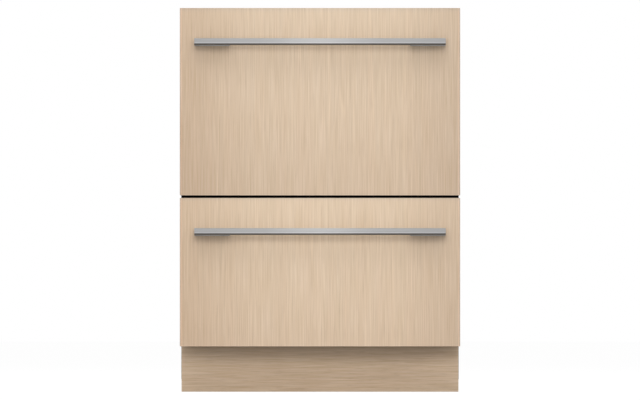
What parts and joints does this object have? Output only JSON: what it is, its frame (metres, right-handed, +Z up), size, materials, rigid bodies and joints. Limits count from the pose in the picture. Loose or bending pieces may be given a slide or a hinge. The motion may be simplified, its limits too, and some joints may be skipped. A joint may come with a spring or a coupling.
{
  "type": "double-drawer dishwasher",
  "caption": "Built-in dishwasher with stacked sliding wash drawers behind pale vertical-grain wood panels, slim bar handles, a recessed wood toe kick and levelling feet.",
  "frame": {"origin": "centre of the outer box at the floor, under the four levelling feet", "axes": "+Z up, front panels face -Y, +X to the right seen from the front"},
  "size_m": [0.599, 0.61, 0.8205],
  "materials": {
    "panel_wood": "fine straight grain, matt lacquer",
    "toe_wood": "fine horizontal grain, matt lacquer",
    "handle_aluminium": "satin anodised",
    "cabinet_steel": "galvanised sheet",
    "rail_black": "matt black",
    "frame_plastic": "fine spark texture",
    "control_plastic": "polished",
    "button_plastic": "satin",
    "tub_plastic": "satin moulded",
    "white_plastic": "satin moulded",
    "seal_rubber": "matt",
    "rack_wire": "nylon-coated wire",
    "basket_plastic": "satin moulded",
    "runner_steel": "bright zinc",
    "foot_plastic": "matt moulded"
  },
  "bodies": {
    "cabinet": {"side_panel_left": "cabinet_steel", "side_panel_right": "cabinet_steel", "back_panel": "cabinet_steel", "top_panel": "cabinet_steel", "divider_rail": "rail_black", "base_tray": "cabinet_steel", "inlet_valve": "white_plastic", "toe_kick_panel": "toe_wood", "upper_runner_outer_left": "runner_steel", "upper_runner_outer_right": "runner_steel", "lower_runner_outer_left": "runner_steel", "lower_runner_outer_right": "runner_steel"},
    "upper_drawer": {"upper_front_panel": "panel_wood", "upper_front_frame": "frame_plastic", "upper_control_panel": "control_plastic", "upper_handle_bar": "handle_aluminium", "upper_handle_mount_left": "handle_aluminium", "upper_handle_mount_right": "handle_aluminium", "upper_tub": "tub_plastic", "upper_rack": "rack_wire", "upper_cutlery_basket": "basket_plastic", "upper_filter_plate": "basket_plastic", "upper_dispenser": "white_plastic", "upper_runner_inner_left": "runner_steel", "upper_runner_inner_right": "runner_steel"},
    "upper_slides": {"upper_runner_middle_left": "runner_steel", "upper_runner_middle_right": "runner_steel"},
    "upper_lid": {"upper_lid": "white_plastic", "upper_lid_seal": "seal_rubber"},
    "upper_spray_arm": {"upper_spray_arm": "basket_plastic"},
    "upper_tine_row": {"upper_tine_row": "rack_wire"},
    "upper_dispenser_cover": {"upper_dispenser_cover": "basket_plastic"},
    "upper_power_button": {"upper_power_button": "button_plastic"},
    "upper_start_button": {"upper_start_button": "button_plastic"},
    "lower_drawer": {"lower_front_panel": "panel_wood", "lower_front_frame": "frame_plastic", "lower_control_panel": "control_plastic", "lower_handle_bar": "handle_aluminium", "lower_handle_mount_left": "handle_aluminium", "lower_handle_mount_right": "handle_aluminium", "lower_tub": "tub_plastic", "lower_rack": "rack_wire", "lower_cutlery_basket": "basket_plastic", "lower_filter_plate": "basket_plastic", "lower_dispenser": "white_plastic", "lower_runner_inner_left": "runner_steel", "lower_runner_inner_right": "runner_steel"},
    "lower_slides": {"lower_runner_middle_left": "runner_steel", "lower_runner_middle_right": "runner_steel"},
    "lower_lid": {"lower_lid": "white_plastic", "lower_lid_seal": "seal_rubber"},
    "lower_spray_arm": {"lower_spray_arm": "basket_plastic"},
    "lower_tine_row": {"lower_tine_row": "rack_wire"},
    "lower_dispenser_cover": {"lower_dispenser_cover": "basket_plastic"},
    "lower_power_button": {"lower_power_button": "button_plastic"},
    "lower_start_button": {"lower_start_button": "button_plastic"},
    "foot_front_left": {"foot_front_left": "foot_plastic"},
    "foot_front_right": {"foot_front_right": "foot_plastic"},
    "foot_rear_left": {"foot_rear_left": "foot_plastic"},
    "foot_rear_right": {"foot_rear_right": "foot_plastic"}
  },
  "joints": [
    {"name": "upper_drawer_slide", "type": "slide", "parent": "cabinet", "child": "upper_drawer", "axis": [0, -1, 0], "range_m": [0, 0.46]},
    {"name": "upper_slides_follow", "type": "slide", "parent": "cabinet", "child": "upper_slides", "axis": [0, -1, 0], "range_m": [0, 0.23]},
    {"name": "upper_lid_drop", "type": "slide", "parent": "cabinet", "child": "upper_lid", "axis": [0, 0, -1], "range_m": [0, 0.0097]},
    {"name": "upper_spray_spin", "type": "hinge", "parent": "upper_drawer", "child": "upper_spray_arm", "pos_m": [0, 0.037, 0.4998], "axis": [0, 0, 1], "continuous": true},
    {"name": "upper_tine_fold", "type": "hinge", "parent": "upper_drawer", "child": "upper_tine_row", "pos_m": [0, 0.03817, 0.5304], "axis": [-1, 0, 0], "range_deg": [0, 88]},
    {"name": "upper_dispenser_cover_slide", "type": "slide", "parent": "upper_drawer", "child": "upper_dispenser_cover", "axis": [1, 0, 0], "range_m": [0, 0.058]},
    {"name": "upper_power_press", "type": "slide", "parent": "upper_drawer", "child": "upper_power_button", "axis": [0, 0, -1], "range_m": [0, 0.002], "stiffness_N_per_m": 400, "springref_m": -0.002},
    {"name": "upper_start_press", "type": "slide", "parent": "upper_drawer", "child": "upper_start_button", "axis": [0, 0, -1], "range_m": [0, 0.002], "stiffness_N_per_m": 400, "springref_m": -0.002},
    {"name": "lower_drawer_slide", "type": "slide", "parent": "cabinet", "child": "lower_drawer", "axis": [0, -1, 0], "range_m": [0, 0.46]},
    {"name": "lower_slides_follow", "type": "slide", "parent": "cabinet", "child": "lower_slides", "axis": [0, -1, 0], "range_m": [0, 0.23]},
    {"name": "lower_lid_drop", "type": "slide", "parent": "cabinet", "child": "lower_lid", "axis": [0, 0, -1], "range_m": [0, 0.0097]},
    {"name": "lower_spray_spin", "type": "hinge", "parent": "lower_drawer", "child": "lower_spray_arm", "pos_m": [0, 0.037, 0.1695], "axis": [0, 0, 1], "continuous": true},
    {"name": "lower_tine_fold", "type": "hinge", "parent": "lower_drawer", "child": "lower_tine_row", "pos_m": [0, 0.03817, 0.2001], "axis": [-1, 0, 0], "range_deg": [0, 88]},
    {"name": "lower_dispenser_cover_slide", "type": "slide", "parent": "lower_drawer", "child": "lower_dispenser_cover", "axis": [1, 0, 0], "range_m": [0, 0.058]},
    {"name": "lower_power_press", "type": "slide", "parent": "lower_drawer", "child": "lower_power_button", "axis": [0, 0, -1], "range_m": [0, 0.002], "stiffness_N_per_m": 400, "springref_m": -0.002},
    {"name": "lower_start_press", "type": "slide", "parent": "lower_drawer", "child": "lower_start_button", "axis": [0, 0, -1], "range_m": [0, 0.002], "stiffness_N_per_m": 400, "springref_m": -0.002},
    {"name": "foot_front_left_level", "type": "slide", "parent": "cabinet", "child": "foot_front_left", "axis": [0, 0, -1], "range_m": [0, 0.055]},
    {"name": "foot_front_right_level", "type": "slide", "parent": "cabinet", "child": "foot_front_right", "axis": [0, 0, -1], "range_m": [0, 0.055]},
    {"name": "foot_rear_left_level", "type": "slide", "parent": "cabinet", "child": "foot_rear_left", "axis": [0, 0, -1], "range_m": [0, 0.055]},
    {"name": "foot_rear_right_level", "type": "slide", "parent": "cabinet", "child": "foot_rear_right", "axis": [0, 0, -1], "range_m": [0, 0.055]}
  ],
  "couplings": [
    {"joint": "upper_slides_follow", "follows": "upper_drawer_slide", "ratio": 0.5},
    {"joint": "lower_slides_follow", "follows": "lower_drawer_slide", "ratio": 0.5}
  ]
}
